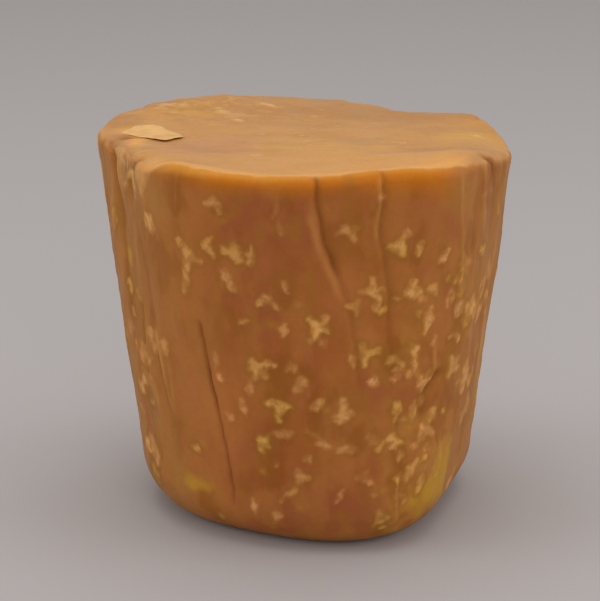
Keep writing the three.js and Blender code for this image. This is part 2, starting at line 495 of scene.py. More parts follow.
def raise_pleats(place, turn, radius, z):
    """The pleats' heights added up, each a bell across its path, and how far up a ridge or down a
    valley a point is, from 1 to -1. Fine streaks run down the gathered flanks between them: noise in
    cells far taller than wide."""
    flank = smooth(abs(around), 36, 56) * on_side
    streak = flank * layered_noise(place, (3.5, 8, 50), 91, 2)
    push, ridge = 0.14 * streak, 0.7 * streak
    wander = 0.6 * noise(place, 7, 17) + 0.2 * noise(place, 2.5, 18)
    for size, width, path in PLEATS + drawn_pleats():
        at, left = along_path(path, z)
        across = left * on_side * bell(skin_distance(turn, at, radius) + wander, width)
        push += size * across
        ridge += across * np.clip(1.6 * size, -0.8, 0.8)
    return push, np.clip(ridge, -1, 1)


pleat_push, ridge = raise_pleats(place, turn, radius, z)
print("pleats from", pleat_push.min().round(2), "to", pleat_push.max().round(2), "mm")

# %% [markdown]
# ## Dents, lumps and the top's relief
#
# The rest is broad, gentle unevenness: shallow dents where the lining bulged, and finer lumps from
# sugar grains close under the skin. The top has more of both, because it was smoothed by hand: a
# low ridge along the front right, a hollow behind it, and a few lumps near the back.

# %% Dents and lumps
# Each: height, x and y of its middle, and reach along x and along y, all in millimetres.
TOP_RELIEF = [
    (0.3, 10, -26, 6, 6),
    (0.5, 23, -31, 6, 6),
    (0.7, 36, -30, 6, 6),
    (-0.8, 30, -13, 9, 9),
    (0.3, -4, -8, 16, 16),
    (0.7, -23, 39, 5, 5),
    (0.7, -12, 37, 4, 4),
    (0.5, 4, 38, 6, 6),
    (-0.7, 26, 32, 5, 5),
    (0.6, 38, 26, 6, 6),
    (0.6, -41, 26, 6, 6),
    (-0.4, -28, -18, 9, 9),
    (0.6, -44.5, -8, 2.6, 2.6),
    (-1.2, -47.3, -2.5, 2.2, 2.2),
    (-0.9, 45, 20, 7, 7),
]
ROUGH_BACK = [(0.5, -24, 30, 26, 13)]
# Each: height, turn and height of its middle, and reach in degrees and in millimetres.
SIDE_DENTS = [
    (-0.5, 46, 12, 14, 13),
    (-1.1, 68, 16, 24, 18),
    (-0.7, 14, 8, 18, 7),
    (-0.6, -66, 24, 20, 14),
    (-0.7, 84, 93, 22, 12),
    (-0.5, -82, 93, 22, 14),
    (0.7, -88, 62, 16, 28),
]


def uneven(place, turn, z):
    """Dents and lumps from layered noise, streaked down the side, plus the side's and the top's own soft
    bumps. The top is roughest at the back left."""
    side = 0.4 * layered_noise(place, (17, 17, 34), 21) + 0.14 * layered_noise(place, (3.2, 3.2, 6), 31)
    side += side_spots(turn, z, SIDE_DENTS)
    top = 0.4 * layered_noise(place, (20, 13, 20), 41) + 0.22 * layered_noise(place, (6, 3.6, 6), 51)
    top += top_spots(place, TOP_RELIEF)
    top += top_spots(place, ROUGH_BACK) * layered_noise(place, (4, 3, 4), 57)
    return side + on_top * (top - side)


uneven_push = uneven(place, turn, z)
print("dents and lumps:", uneven_push.min().round(2), "to", uneven_push.max().round(2), "mm")

# %% [markdown]
# ## The crumpled corners
#
# At two corners of the rim the lining was bunched up, most of all at the front left, and the soft
# sugar there set into a patch of small pale ridges over a rounder rim. Ridged noise suits that:
# where smooth noise passes through zero, one minus its size comes to a crest.

# %% Crumple at the corners
# Each: turn of the middle, reach in degrees, how strong, and how far down it goes in millimetres.
CORNERS = [(-60, 13, 1.0, 28), (57, 13, 0.55, 22), (140, 14, 0.4, 18), (-140, 16, 0.45, 20)]
NUDGE = 2.2  # how far the ridges wind
DRAWN_IN, DRAWN_REACH = 1.2, 4.5  # how far in the rim is drawn, and how far down


def crumpled(place, turn):
    """Ridged noise, one minus the size of the noise, squared, kept near each corner. The places are
    nudged by other noise first, so that the ridges wind. There the rim is also drawn in, which
    rounds it off."""
    patch = np.zeros_like(turn)
    for at, reach, strength, depth in CORNERS:
        near = strength * bell(turn_between(turn, at), reach) * smooth(below_rim, depth, 0.3 * depth)
        patch = np.maximum(patch, near * smooth(below_rim, -5, 1))
    nudge = [layered_noise(place, 6, seed, 2) for seed in (64, 65, 63)]
    wound = place + NUDGE * np.stack(nudge, axis=-1)
    crest = (1 - abs(noise(wound, (5, 10, 6), 61))) ** 2
    fine = (1 - abs(noise(wound, (2.4, 5, 3), 62))) ** 2
    relief = patch * (0.65 * crest + 0.25 * fine - 0.45)
    return relief - DRAWN_IN * patch * bell(below_rim, DRAWN_REACH), patch, patch * (1.1 * crest - 0.45)


crumple, patch, crest = crumpled(place, turn)
push = (crease_push + pleat_push + uneven_push + crumple) * floor_fade
ridge = np.clip(ridge + crest, -1, 1)
print("relief from", push.min().round(2), "to", push.max().round(2), "mm")

# %% [markdown]
# ## Flecks of dry sugar
#
# The pale flecks are small angular patches just under the waxy skin: some only dots and dashes, some
# arrowheads, forks and stars with uneven arms. Each is a few tapering arms that start at one place,
# and those on the flanks are wider, as the lining was stretched there. What is stored on the mesh
# isn't a colour but a distance: how far inside the nearest arm a point is, in millimetres. A distance
# blends smoothly over a face, so the shader can cut as soft or as ragged an edge through it as it likes.

# %% Shapes of flecks
# Arms as (angle in degrees from straight up, clockwise, share of the fleck's length).
FLECK_ARMS = {
    "dot": [(0, 0.12), (180, 0.12)],
    "dash": [(0, 0.5), (180, 0.5)],
    "drop": [(0, 0.1), (180, 0.7)],
    "vee": [(-45, 0.55), (50, 0.5)],
    "arrow": [(140, 0.6), (-130, 0.6)],
    "hook": [(130, 0.6), (-115, 0.35)],
    "blob": [(20, 0.3), (140, 0.35), (-100, 0.28)],
    "spire": [(0, 0.65), (65, 0.35), (-100, 0.25)],
    "tee": [(-90, 0.5), (90, 0.4), (170, 0.55)],
    "fork": [(-40, 0.32), (105, 0.25), (186, 0.72)],
    "star": [(20, 0.5), (95, 0.45), (170, 0.5), (-70, 0.5)],
}
WIDER_FROM, TWICE_AS_WIDE = 28, 66  # degrees from the front
# Flecks that are easy to pick out: turn, height, length and half width in millimetres, lean in
# degrees, kind, how golden rather than rosy, and how pale.
FRONT_FLECKS = [
    (-24.5, 94, 6, 0.8, 15, "arrow", 0.3, 0.7),
    (-8.5, 93, 3.2, 0.5, 8, "dash", 0.1, 0.5),
    (-7.5, 88.2, 3.4, 0.5, -5, "dash", 0.1, 0.4),
    (-34.5, 78.7, 16, 1.3, 0, "fork", 0.5, 0.75),
    (-28.5, 82, 7.5, 1, 90, "vee", 0.6, 0.7),
    (-20.4, 81.5, 9, 2, 0, "blob", 0.8, 0.7),
    (-15.6, 81.2, 6, 0.9, 5, "dash", 0.6, 0.8),
    (-23, 75, 6.5, 1.2, -35, "drop", 0.1, 0.8),
    (-6.8, 73.8, 4.5, 0.8, -30, "drop", 0.1, 0.9),
    (-11.8, 69.8, 9, 0.85, 0, "hook", 0.4, 0.8),
    (-2.8, 68.4, 2, 0.6, 0, "dot", 0.2, 0.3),
    (-49, 85.4, 5, 1.2, -25, "dash", 0.3, 0.9),
    (-7, 61.8, 3.4, 1, 10, "dash", 0.2, 0.7),
    (9.8, 87.6, 7.5, 0.9, 0, "hook", 0.1, 0.6),
    (24.2, 82.1, 8, 1.6, 5, "blob", 0.9, 0.9),
    (30.2, 82.3, 4.4, 0.8, 10, "drop", 0.5, 0.7),
    (38.2, 78.6, 4.5, 0.7, 48, "dash", 0.2, 0.8),
    (17.5, 71.3, 8, 0.9, -20, "star", 0.5, 0.8),
    (12.8, 67.6, 6, 1.1, 15, "blob", 0.4, 0.8),
    (29, 70.7, 7.5, 1.6, -20, "blob", 0.6, 0.9),
    (35.2, 70.4, 5, 1.1, 25, "blob", 0.5, 0.7),
    (24.2, 68.9, 2.5, 0.7, 0, "dot", 0.6, 0.6),
    (40.8, 67.2, 3.8, 0.8, 0, "drop", 0.2, 0.6),
    (34.2, 62.3, 7.5, 1, 4, "dash", 0.4, 0.9),
    (46.8, 63, 5, 1.14, 0, "blob", 0.4, 0.7),
    (47.2, 68.2, 5, 1, 8, "dash", 0.8, 0.35),
    (52.6, 59.4, 6, 1.21, 60, "blob", 0.9, 0.5),
    (56.8, 60.1, 3, 0.8, 0, "dash", 0.2, 0.7),
    (2.6, 62.6, 8, 1.05, 20, "star", 0.7, 1.0),
    (0.8, 59.3, 2.4, 0.7, 0, "dot", 0.1, 0.5),
    (15.8, 55.2, 8.5, 1, -90, "tee", 0.9, 0.9),
    (12.3, 53.6, 3.8, 0.8, -10, "dash", 0.4, 0.7),
    (18.5, 47.7, 3, 1, 0, "dot", 0.1, 1.0),
    (24.5, 53.4, 5.8, 0.85, 0, "arrow", 0.6, 0.7),
    (30.5, 55, 6.4, 1.2, 5, "drop", 0.5, 0.8),
    (37, 56.5, 3, 0.8, 0, "dash", 0.1, 0.6),
    (33.4, 45.2, 5.4, 1.1, 25, "vee", 0.3, 0.9),
    (2.0, 41.2, 5.2, 0.9, 220, "drop", 0.3, 0.8),
    (9.8, 38.6, 8.4, 1.4, 0, "spire", 0.3, 0.8),
    (25.8, 39.1, 6.4, 1.1, 0, "dash", 0.8, 0.9),
    (31.3, 38.8, 6.2, 0.85, 8, "dash", 0.6, 0.8),
    (38.8, 36.4, 3.6, 0.8, 40, "dash", 0.4, 0.6),
    (37, 32.1, 4.6, 0.75, -45, "dash", 0.2, 1.0),
    (1.5, 33.6, 7, 0.6, -55, "dash", 0.2, 0.4),
    (4.8, 30.9, 4, 0.9, -70, "dash", 0.1, 0.6),
    (24.2, 32.4, 8.4, 1.2, -10, "arrow", 0.7, 0.9),
    (11.5, 29.9, 5.5, 1, 85, "dash", 0.2, 0.5),
    (32, 21.9, 7, 1.1, 22, "dash", 0.6, 0.8),
    (36.2, 17.6, 6, 0.8, 5, "dash", 0.8, 0.7),
    (18.5, 20.3, 2.8, 0.7, 0, "dot", 0.1, 1.0),
    (17.2, 21.6, 5, 0.9, -40, "vee", 0.2, 0.3),
    (8.8, 15.7, 6.4, 0.75, 205, "drop", 0.1, 0.6),
    (27.2, 17.5, 11, 0.5, 2, "dash", 0.6, 0.6),
    (23, 9.3, 8, 1.5, 70, "blob", 0.8, 0.6),
    (69.5, 31.5, 6, 0.9, 0, "dash", 0.4, 0.8),
    (64.2, 28.8, 5, 0.9, 20, "blob", 0.6, 0.6),
    (-56, 52.5, 6, 1, 0, "dash", 0.2, 0.7),
    (-49.5, 52, 4.5, 0.9, 10, "dash", 0.2, 0.6),
    (-27.5, 47.1, 2.7, 0.8, 0, "dot", 0.1, 1.0),
    (-28.4, 51.4, 6, 0.6, 0, "dash", 0.1, 0.4),
    (-15.2, 50.8, 7, 1.05, 30, "star", 0.5, 0.8),
    (-18, 44.9, 3.8, 0.8, 10, "dash", 0.2, 0.6),
    (-20.4, 39.3, 5.6, 1, -20, "dash", 0.2, 0.7),
    (-1.6, 48, 5.4, 1.2, 50, "drop", 0.3, 0.7),
    (-8.6, 41.2, 9, 1.05, 3, "tee", 0.9, 0.9),
    (-7.5, 33.6, 5.8, 0.85, 85, "dash", 0.2, 0.6),
    (-14, 30.4, 5.4, 1.15, 20, "star", 1.0, 0.9),
    (-2.5, 21.9, 7, 1.3, 60, "blob", 0.5, 0.6),
    (-6.0, 16.6, 6.8, 0.85, 50, "dash", 0.5, 0.6),
    (-18.8, 11.9, 3.6, 0.95, -10, "dash", 0.1, 0.9),
    (-10.5, 9.8, 4, 1.2, 60, "blob", 0.2, 0.8),
    (-66.2, 19.2, 8, 0.9, -5, "dash", 0.3, 0.7),
    (-70.5, 36.3, 3, 0.9, 0, "dot", 0.4, 0.8),
    (-14.5, 22.3, 2, 0.6, 0, "dot", 0.2, 0.4),
    (-9.8, 24.6, 1.8, 0.6, 0, "dot", 0.2, 0.4),
]
# Where smaller flecks gather: turn and height of the middle, reach in degrees and millimetres, count.
DRIFTS = [
    (28, 62, 14, 24, 16),
    (0, 44, 18, 22, 10),
    (62, 46, 12, 30, 16),
    (33, 40, 12, 24, 24),
    (26, 16, 14, 10, 10),
    (46, 58, 6, 16, 10),
    (-66, 50, 12, 30, 12),
    (100, 52, 22, 40, 30),
    (150, 45, 24, 40, 38),
    (195, 55, 22, 42, 32),
    (240, 48, 20, 38, 26),
    (275, 55, 18, 38, 18),
]


def front_flecks():
    """The flecks with places of their own, in straight proportion wider past a turn to each side."""
    found = []
    for at, level, length, width, *rest in FRONT_FLECKS:
        past = max(abs(at) - WIDER_FROM, 0) / (TWICE_AS_WIDE - WIDER_FROM)
        found.append((at, level, length, width * (1 + past), *rest))
    return found


def drawn_flecks():
    """Seeded flecks for every drift. Places follow a bell round its middle, and most are short: those at
    the front only fill in, and those at the sides and behind are larger, to stand for all of them."""
    lot = np.random.default_rng(9)
    kinds = list(FLECK_ARMS)
    found = []
    for middle, level, wide, high, count in DRIFTS:
        longest, broad = (3.0, 1.0) if abs(turn_between(middle, 0)) < 50 else (9.0, 1.35)
        for _ in range(count):
            at = middle + wide * lot.normal() * 0.7
            height = np.clip(level + high * lot.normal() * 0.7, 6, 95)
            length = 1.6 + (longest - 1.6) * lot.random() ** 1.6
            width = broad * (0.42 + 0.11 * length * lot.uniform(0.7, 1.2))
            kind = kinds[lot.integers(len(kinds))]
            gold, pale = lot.random() ** 1.4, lot.uniform(0.3, 1)
            found.append((at, height, length, width, lot.uniform(-60, 60), kind, gold, pale))
    return found


flecks = front_flecks() + drawn_flecks()
# On the flanks a distance across counts for less, so the flecks there come out wider.
across_counts = 1 - 0.35 * smooth(abs(around), 30, 60)
print(len(flecks), "flecks on the side")

# %% [markdown]
# Distance to an arm is the distance to the nearest point of its middle line, less a thickness that
# shrinks from root to tip. The points are first nudged by noise, which frays the outline. Only the
# points near a fleck are worked out, a few hundred at a time.


# %% Distances inside the flecks
OUTSIDE = -3.0
FRAY = 0.7
# For a fleck's length and half width: an arm's length, its root's thickness and its tip's share of it.
ARM_LENGTH, ROOT_WIDTH, ROOT_LEAST, TIP_SHARE = 0.8, 0.9, 0.38, 0.6


def arm_depth(across, upwards, angle, length, root, tip):
    """How far inside one tapering arm each point is: its thickness there less the distance to the
    arm's middle line, where the thickness goes from root to tip along the arm."""
    dx, dy = math.sin(math.radians(angle)), math.cos(math.radians(angle))
    along = np.clip((across * dx + upwards * dy) / length, 0, 1)
    gap = np.hypot(across - along * length * dx, upwards - along * length * dy)
    return root + along * (tip - root) - gap


def sow_flecks(flecks, across_of, upwards_of, here, seed):
    """For every point, how far inside the nearest fleck it is, and that fleck's gold and paleness."""
    lot = np.random.default_rng(seed)
    depth = np.full(len(place), OUTSIDE)
    gold, pale = np.zeros(len(place)), np.full(len(place), 0.5)
    fray = FRAY * np.stack([layered_noise(place, 1.8, 71, 3), layered_noise(place, 1.8, 75, 3)])
    for first, second, length, width, lean, kind, golden, paleness in flecks:
        dx, dy = across_of(first), upwards_of(second)
        reach = length - OUTSIDE
        near = np.flatnonzero(here & (abs(dx) < reach) & (abs(dy) < reach))
        u, v = dx[near] + fray[0, near], dy[near] + fray[1, near]
        best = np.full(len(near), OUTSIDE)
        for angle, share in FLECK_ARMS[kind]:
            angle = angle + lean + lot.uniform(-10, 10)
            long = ARM_LENGTH * length * share * lot.uniform(0.9, 1.1)
            root = (ROOT_WIDTH * width + ROOT_LEAST) * lot.uniform(0.85, 1.2)
            best = np.maximum(best, arm_depth(u, v, angle, long, root, TIP_SHARE * root))
        closer = best > depth[near]
        depth[near] = np.maximum(depth[near], best)
        gold[near[closer]], pale[near[closer]] = golden, paleness
    return depth, gold, pale


fleck, fleck_gold, fleck_pale = sow_flecks(
    flecks,
    lambda at: skin_distance(turn, at, radius) * across_counts,
    lambda height: z - height,
    on_top < 0.5,
    13,
)
print("share of points inside a fleck:", (fleck > 0).mean().round(3))

# %% [markdown]
# The top has specks instead of flecks: small crumbs of dry sugar pressed into the surface, longer
# across than from front to back. The same function sows them, measured across the top.

# %% Specks on the top
# The specks that show most: x, y, length.
TOP_SPECKS = [
    (-11, 36.4, 4.6),
    (-19.4, 18.5, 3.4),
    (-22.9, 26.7, 4.0),
    (-12.6, -23.1, 3.6),
    (1.7, 28.7, 3.0),
    (23.4, -4.2, 3.2),
    (33.6, -19.5, 4.0),
    (45.1, 7.9, 3.6),
    (-41, 26.7, 4.2),
]
FLECK_PROUD, SPECK_PROUD = 0.12, 0.08
# Where smaller ones gather: x and y of the middle, reach and count.
SPECK_DRIFTS = [(-24, 28, 13, 20), (4, 34, 16, 16), (30, 6, 14, 12), (-8, 0, 22, 16), (-38, 4, 8, 8)]


def drawn_specks():
    """The specks with places of their own, then seeded dots and dashes for each part of the top."""
    lot = np.random.default_rng(15)
    found = [(x, y, long, 0.8, 84, "dash", 0.1, 0.9) for x, y, long in TOP_SPECKS]
    for x, y, reach, count in SPECK_DRIFTS:
        for _ in range(count):
            at = np.array([x, y]) + reach * lot.normal(size=2) * 0.7
            kind = lot.choice(["dot", "dash", "blob"], p=[0.4, 0.4, 0.2])
            length, width = lot.uniform(0.8, 3.2), lot.uniform(0.3, 0.6)
            gold, pale = 0.3 * lot.random(), lot.uniform(0.3, 0.8)
            found.append((*at, length, width, 90 + lot.uniform(-35, 35), kind, gold, pale))
    return found


speck, speck_gold, speck_pale = sow_flecks(
    drawn_specks(), lambda x: place[:, 0] - x, lambda y: place[:, 1] - y, on_top >= 0.5, 14
)
is_speck = speck > fleck
fleck = np.maximum(fleck, speck)
fleck_gold = np.where(is_speck, speck_gold, fleck_gold)
fleck_pale = np.where(is_speck, speck_pale, fleck_pale)
proud = FLECK_PROUD + on_top * (SPECK_PROUD - FLECK_PROUD)
push += floor_fade * proud * smooth(fleck, -0.6, 0.6)
print("with specks:", (fleck > 0).mean().round(3))

# %% [markdown]
# ## Put the skin in its place
#
# The relief moves each point along its row's outward direction. Then the whole skin is slid, without
# turning or stretching, until its box is centred on the frame's and stands on the same floor.


# %% Final places
def settled(place, box):
    """The places in metres, moved so that their box shares the frame box's middle and floor."""
    low, high = np.array(box)
    place = place * MM
    middle = (place.min(axis=0) + place.max(axis=0)) / 2
    shift = (low + high) / 2 - middle
    shift[2] = low[2] - place[:, 2].min()
    return place + shift, shift


pushed = to_xyz(turn, bent_radius + push * out, bent_z + push * up)
skin, shift = settled(pushed, cad_box)
print("moved by", (shift / MM).round(2), "mm; size", (np.ptp(skin, axis=0) / MM).round(1), "mm")

# %% [markdown]
# ## Unrolling it flat
#
# A baked texture needs a flat layout. A cone-shaped side unrolls well into strips, so it is cut
# into a front strip and a back strip, and the top and the floor are laid beside them as discs.
# All four have nearly the same scale, so that none of them is baked coarser than the others.

# %% Flat layout
STRIP_CUT = round(COLUMNS * 0.3)
DISC_SCALE = 0.185 / 52.0
FLOOR_DISC, TOP_DISC = (0.805, 0.2), (0.805, 0.75)
CREST_ROW = len(rows) - TOP_ROWS
STRIP_LEFT, STRIP_WIDTH, STRIP_HEIGHT = 0.01, 0.59, 0.47
FRONT_STRIP, BACK_STRIP = 0.515, 0.015  # how far up each strip starts


def side_layout(column, row):
    """Strips: across is the turn and up is the distance along the profile from the floor."""
    turns = crowd(2 * np.pi * column / COLUMNS)
    front = (column.min(axis=1) < STRIP_CUT) | (column.max(axis=1) > COLUMNS - STRIP_CUT)
    front = front[:, None]
    edge = crowd(2 * np.pi * STRIP_CUT / COLUMNS)
    turns = np.where(front, turn_between(turns, 0), turns - edge)
    turns = np.where(front, turns + edge, turns)
    steps = np.hypot(*np.diff(rows[:, :2], axis=0).T)
    along = np.concatenate([[0], np.cumsum(steps)])
    along = (along - along[FLOOR_ROWS]) / (along[CREST_ROW] - along[FLOOR_ROWS])
    u = STRIP_LEFT + turns * STRIP_WIDTH / (2 * edge)
    v = np.where(front, FRONT_STRIP, BACK_STRIP) + STRIP_HEIGHT * along[row]
    return np.stack([u, v], axis=-1)


def disc_layout(vertex, middle):
    """Discs: the point's own x and y, at one scale, round the disc's middle."""
    return np.array(middle) + to_xyz(turn, radius, z)[vertex, :2] * DISC_SCALE


wall_of_row = np.repeat(np.arange(len(rows) - 1), COLUMNS)
column = np.tile(np.arange(COLUMNS), len(rows) - 1)[:, None] + np.array([0, 1, 1, 0])
row = wall_of_row[:, None] + np.array([0, 0, 1, 1])
layout = side_layout(column, row)
is_floor, is_lid = wall_of_row < FLOOR_ROWS, wall_of_row >= CREST_ROW
layout[is_floor] = disc_layout(wall_faces[is_floor], FLOOR_DISC)
layout[is_lid] = disc_layout(wall_faces[is_lid], TOP_DISC)
layout = [layout, disc_layout(lid_faces, TOP_DISC), disc_layout(fan_faces, FLOOR_DISC)]
layout = np.concatenate([part.reshape(-1, 2) for part in layout])
print("layout from", layout.min(axis=0).round(3), "to", layout.max(axis=0).round(3))

# %% [markdown]
# ## Where the colour changes
#
# No two patches of jaggery have quite the same colour: some set redder, some more olive, some paler.
# On the side it is red-brown and plum at the front, with warmer patches beside the creases, browner
# and more olive at the flanks, and mustard low on the right. Low at the front it is also darkened with
# painted shade, and near the floor lightened with painted light. The dried top is rosy at the front
# left, golden in the middle and at its ends, and darker towards the back, in its hollows and at its
# front corners, which is painted shade. Each of these is a few soft spots or a step, most of them
# broken up by noise, and each is stored on the mesh as a share.


# %% Patches of colour on the side
# Soft spots, each: strength, turn and height of its middle, and reach in degrees and millimetres.
# Painted shade: darker low at the front.
LOW_FRONT_SHADE_SPOTS = [(1.7, 2, 13, 24, 9)]
OLIVE_SPOTS = [
    (0.3, -33, 86, 12, 14),
    (-0.25, 14, 74, 18, 26),
    (-0.35, -2, 26, 24, 26),
    (-0.25, -4, 56, 14, 16),
]
WARM_SPOTS = [
    (0.85, -29, 38, 8, 20),
    (0.7, 10, 73, 5, 8),
    (0.3, -12, 79, 9, 6),
    (0.5, 17, 60, 4, 10),
    (0.5, -41, 46, 6, 20),
]
FLANK_SPOTS = [(0.55, -37, 48, 9, 28), (0.9, -46, 92, 7, 8), (0.9, 47, 95, 9, 12)]
DUSTY_SPOTS = [(1, 36, 32, 16, 24), (0.15, 30, 66, 14, 16), (0.5, 30, 6, 24, 5), (0.5, -160, 40, 40, 30)]
MUSTARD_SPOTS = [
    (1.1, 48.5, 20.5, 8, 7),
    (0.9, 43, 14.5, 8, 4),
    (0.9, -41.5, 15, 7, 2.4),
    (0.65, -69, 72.5, 3, 3.5),
    (0.6, 172, 25, 14, 9),
]


def broad_patches(place, turn, z):
    """Tan grows towards the flanks, and towards the floor as painted light that makes up for the shade
    near it. Plum and olive are broad noises: plum is laid low at the front as painted shade, and olive
    is favoured at the front left below the rim and on both flanks. The warm skin is lighter and redder,
    beside the long crease at the left and in spots higher up at the front."""
    tan = smooth(abs(around + 2) + 9 * layered_noise(place, (14, 14, 26), 81), 14, 36)
    plum = smooth(layered_noise(place, (15, 15, 22), 85), -0.1, 0.5)
    lean = side_spots(turn, z, OLIVE_SPOTS) + 0.5 * smooth(abs(around), 44, 60)
    return {
        # Near the floor the tan is painted light.
        "tan": np.maximum(tan, 0.8 * smooth(z, 7, 1)),
        # Low at the front the plum is painted shade.
        "plum": np.maximum(plum, side_spots(turn, z, LOW_FRONT_SHADE_SPOTS)),
        "olive": smooth(lean + layered_noise(place, (11, 11, 16), 87), 0.15, 0.75),
        "warm": side_spots(turn, z, WARM_SPOTS),
    }


def dry_patches(place, turn, z):
    """Two shares of dry tan and one of mustard. The flanks' tan also lies in soft spots at the front
    left and at both corners of the rim. The dry dust is cloudy, low on the right, where the flecks
    lie thickest, and near the floor the same tan is painted light. Mustard has a streaky spot low on
    the right with a tail along the base."""
    flank = smooth(abs(around - 2) + 8 * noise(place, 12, 89), 38, 60)
    flank *= 0.66 - 0.11 * np.sin(np.radians(around))
    dust_and_floor_light = side_spots(turn, z, DUSTY_SPOTS) * smooth(layered_noise(place, (5, 5, 6), 99), -0.25, 0.45)
    tail = smooth(around, 18, 32) * (1 - smooth(around, 66, 84)) * bell(z - 8, 6)
    mustard = side_spots(turn, z, MUSTARD_SPOTS) + 0.5 * tail
    return {
        "flank": np.maximum(flank, side_spots(turn, z, FLANK_SPOTS, strongest)),
        # Near the floor the dry tan is painted light.
        "dust_and_floor_light": dust_and_floor_light + 0.4 * smooth(z, 6, 1),
        "mustard": smooth(mustard + 0.45 * layered_noise(place, (4.5, 4.5, 4.5), 83), 0.2, 0.9),
    }


side_marks = broad_patches(place, turn, z) | dry_patches(place, turn, z)
print("means on the side:", {mark: share.mean().round(2) for mark, share in side_marks.items()})

# %% Patches of colour on the top
# Soft spots, each: strength, x and y of its middle, and reach along x and along y.
ROSE_SPOTS = [(0.8, -25, -14, 17, 15), (0.6, 4, 38, 40, 7), (0.6, 24, -24, 24, 5)]
GOLD_SPOTS = [(0.8, -34, 30, 12, 8), (0.9, 43, 10, 12, 16), (0.8, 4, -13, 20, 12)]
SHADE_SPOTS = [(0.9, 30, -14, 12, 8), (0.9, 22, 34, 20, 12), (1.2, -47.5, -3, 3, 4), (0.9, -50, 14, 5, 12)]
CORNER_SHADES = [(0.9, -48, -17, 7, 14), (0.9, 44, -17, 8, 9), (1.1, 41, -34, 5, 5)]
CRUMBLY_SPOTS = [(1, -32, 31, 20, 12), (1, -47, -20, 6, 13)]


def top_patches(place):
    """Shares of rose, gold and shade: soft spots plus noise longer across than along, with more shade
    towards the back and at both front corners. The last share is how crumbly the top is."""
    broken = layered_noise(place, (13, 6, 13), 95), layered_noise(place, (10, 7, 10), 97)
    # Painted shade: darker towards the back and in the top's hollows.
    shade = top_spots(place, SHADE_SPOTS) + 0.7 * smooth(place[:, 1], -2, 44)
    shade = smooth(shade + 0.3 * (broken[0] - broken[1]), 0, 1.1)
    return {
        "rose": smooth(top_spots(place, ROSE_SPOTS) + 0.3 * broken[0], 0.1, 0.9),
        "top_gold": smooth(top_spots(place, GOLD_SPOTS) + 0.3 * broken[1], 0.2, 0.95),
        "shade": np.maximum(shade, top_spots(place, CORNER_SHADES, strongest)),
        "crumbly": top_spots(place, CRUMBLY_SPOTS, strongest),
    }


top_marks = top_patches(place)
print("means with the top:", {mark: share.mean().round(2) for mark, share in top_marks.items()})

# %% [markdown]
# The thin rim lets light through, so it glows amber in a band a few millimetres deep, except where
# the lining was bunched up. That glow is painted into the colour: an amber band that turns ochre
# towards the crest, with a painted pale gold highlight along the crest and on the front of the top.
# Where the lining was bunched up the pale skin of the top runs down over the rim in ragged tongues.


# %% The rim's band
# Soft spots near the rim, each: strength, x and y of its middle, and reach along x and along y.
# Painted highlight on the front of the top, next to the crest.
CREST_HIGHLIGHT_SPOTS = [(0.5, 6, -40, 32, 22), (0.4, 35, -37, 12, 8)]
# Pale crumbs by the flake, the top's own colour.
LIP_CRUMBS = [(1.1, -44.3, -9, 2.4, 8), (1.2, -47, 7, 4, 4)]
# Painted shade in the hollow by the flake and in the notch at the right corner of the rim.
GAP_SHADE_SPOTS = [(0.7, -47.6, -2, 2, 3.5), (1, 45.8, -28, 2.6, 1.8)]


def rim_bands(place, turn, below):
    """Amber is a painted glow on the side, all the way across the front, and dies out towards the
    crumpled corners. Ochre is the upper part of the painted glow, deepest at the front left. The third
    share is a painted pale gold highlight on the last of the top before the rim and on the middle of the
    top's front, with two pale crumbs by the flake that are the top's own paler colour."""
    # Painted glow: amber below the rim across the front, ochre in its upper part.
    front = 1 - 0.9 * smooth(abs(turn_between(turn, -2)), 35, 45)
    deep = 5.2 + 2.2 * bell(turn_between(turn, 34), 12) + 0.8 * noise(place, 9, 66)
    upper = 2.2 * bell(turn_between(turn, -37), 10) + 0.4 * noise(place, 6, 69)
    # Painted highlight along the crest, across the front.
    crest_highlight_and_crumbs = 0.9 * smooth(below, -5, -0.7) * (1 - smooth(abs(turn_between(turn, -3)), 41, 57))
    crest_highlight_and_crumbs += on_top * top_spots(place, CREST_HIGHLIGHT_SPOTS)
    return {
        "amber": front * (1 - smooth(below, 0.35 * deep, 1.5 * deep)),
        "ochre": 1 - smooth(below, 0.8 + upper, 3.2 + upper),
        "crest_highlight_and_crumbs": np.maximum(crest_highlight_and_crumbs, on_top * top_spots(place, LIP_CRUMBS, strongest)),
    }


def pale_skin(place, turn, below):
    """How much of the top's pale skin there is: it ends just over the rim across the front, a little
    lower elsewhere, and dies out slowly and raggedly down the crumpled corners, least far on the right."""
    reach = 20 * patch * (1 - 0.7 * bell(turn_between(turn, 54), 14))
    reach += 2.5 * smooth(abs(around), 55, 80)
    broken = 0.5 * noise(place, 4, 67) + 5 * patch * layered_noise(place, (4, 4, 7), 68)
    return 1 - smooth(below + broken * smooth(below, -1, 2), -0.3 + 0.2 * reach, 1.7 + reach)


rim_marks = rim_bands(place, turn, below_rim)
rim_marks["pale"] = pale_skin(place, turn, below_rim)
# Painted shade in those two gaps, joined to the grooves' painted shade.
groove = np.maximum(groove, smooth(z, 92, 96) * top_spots(place, GAP_SHADE_SPOTS, strongest))
print("share of points under the pale skin:", rim_marks["pale"].mean().round(2))

# %% [markdown]
# ## Build the mesh
#
# The arrays go into a mesh in one step. Beside the places it gets its flat layout and one named
# number per point for each thing the colour depends on, so that the material can find the grooves,
# ridges, flecks and rim without guessing them from the shape.


# %% The block's mesh
def add_object(name, data):
    """An object for the data, at the origin, in the scene."""
    made = bpy.data.objects.new(name, data)
    bpy.context.scene.collection.objects.link(made)
    return made


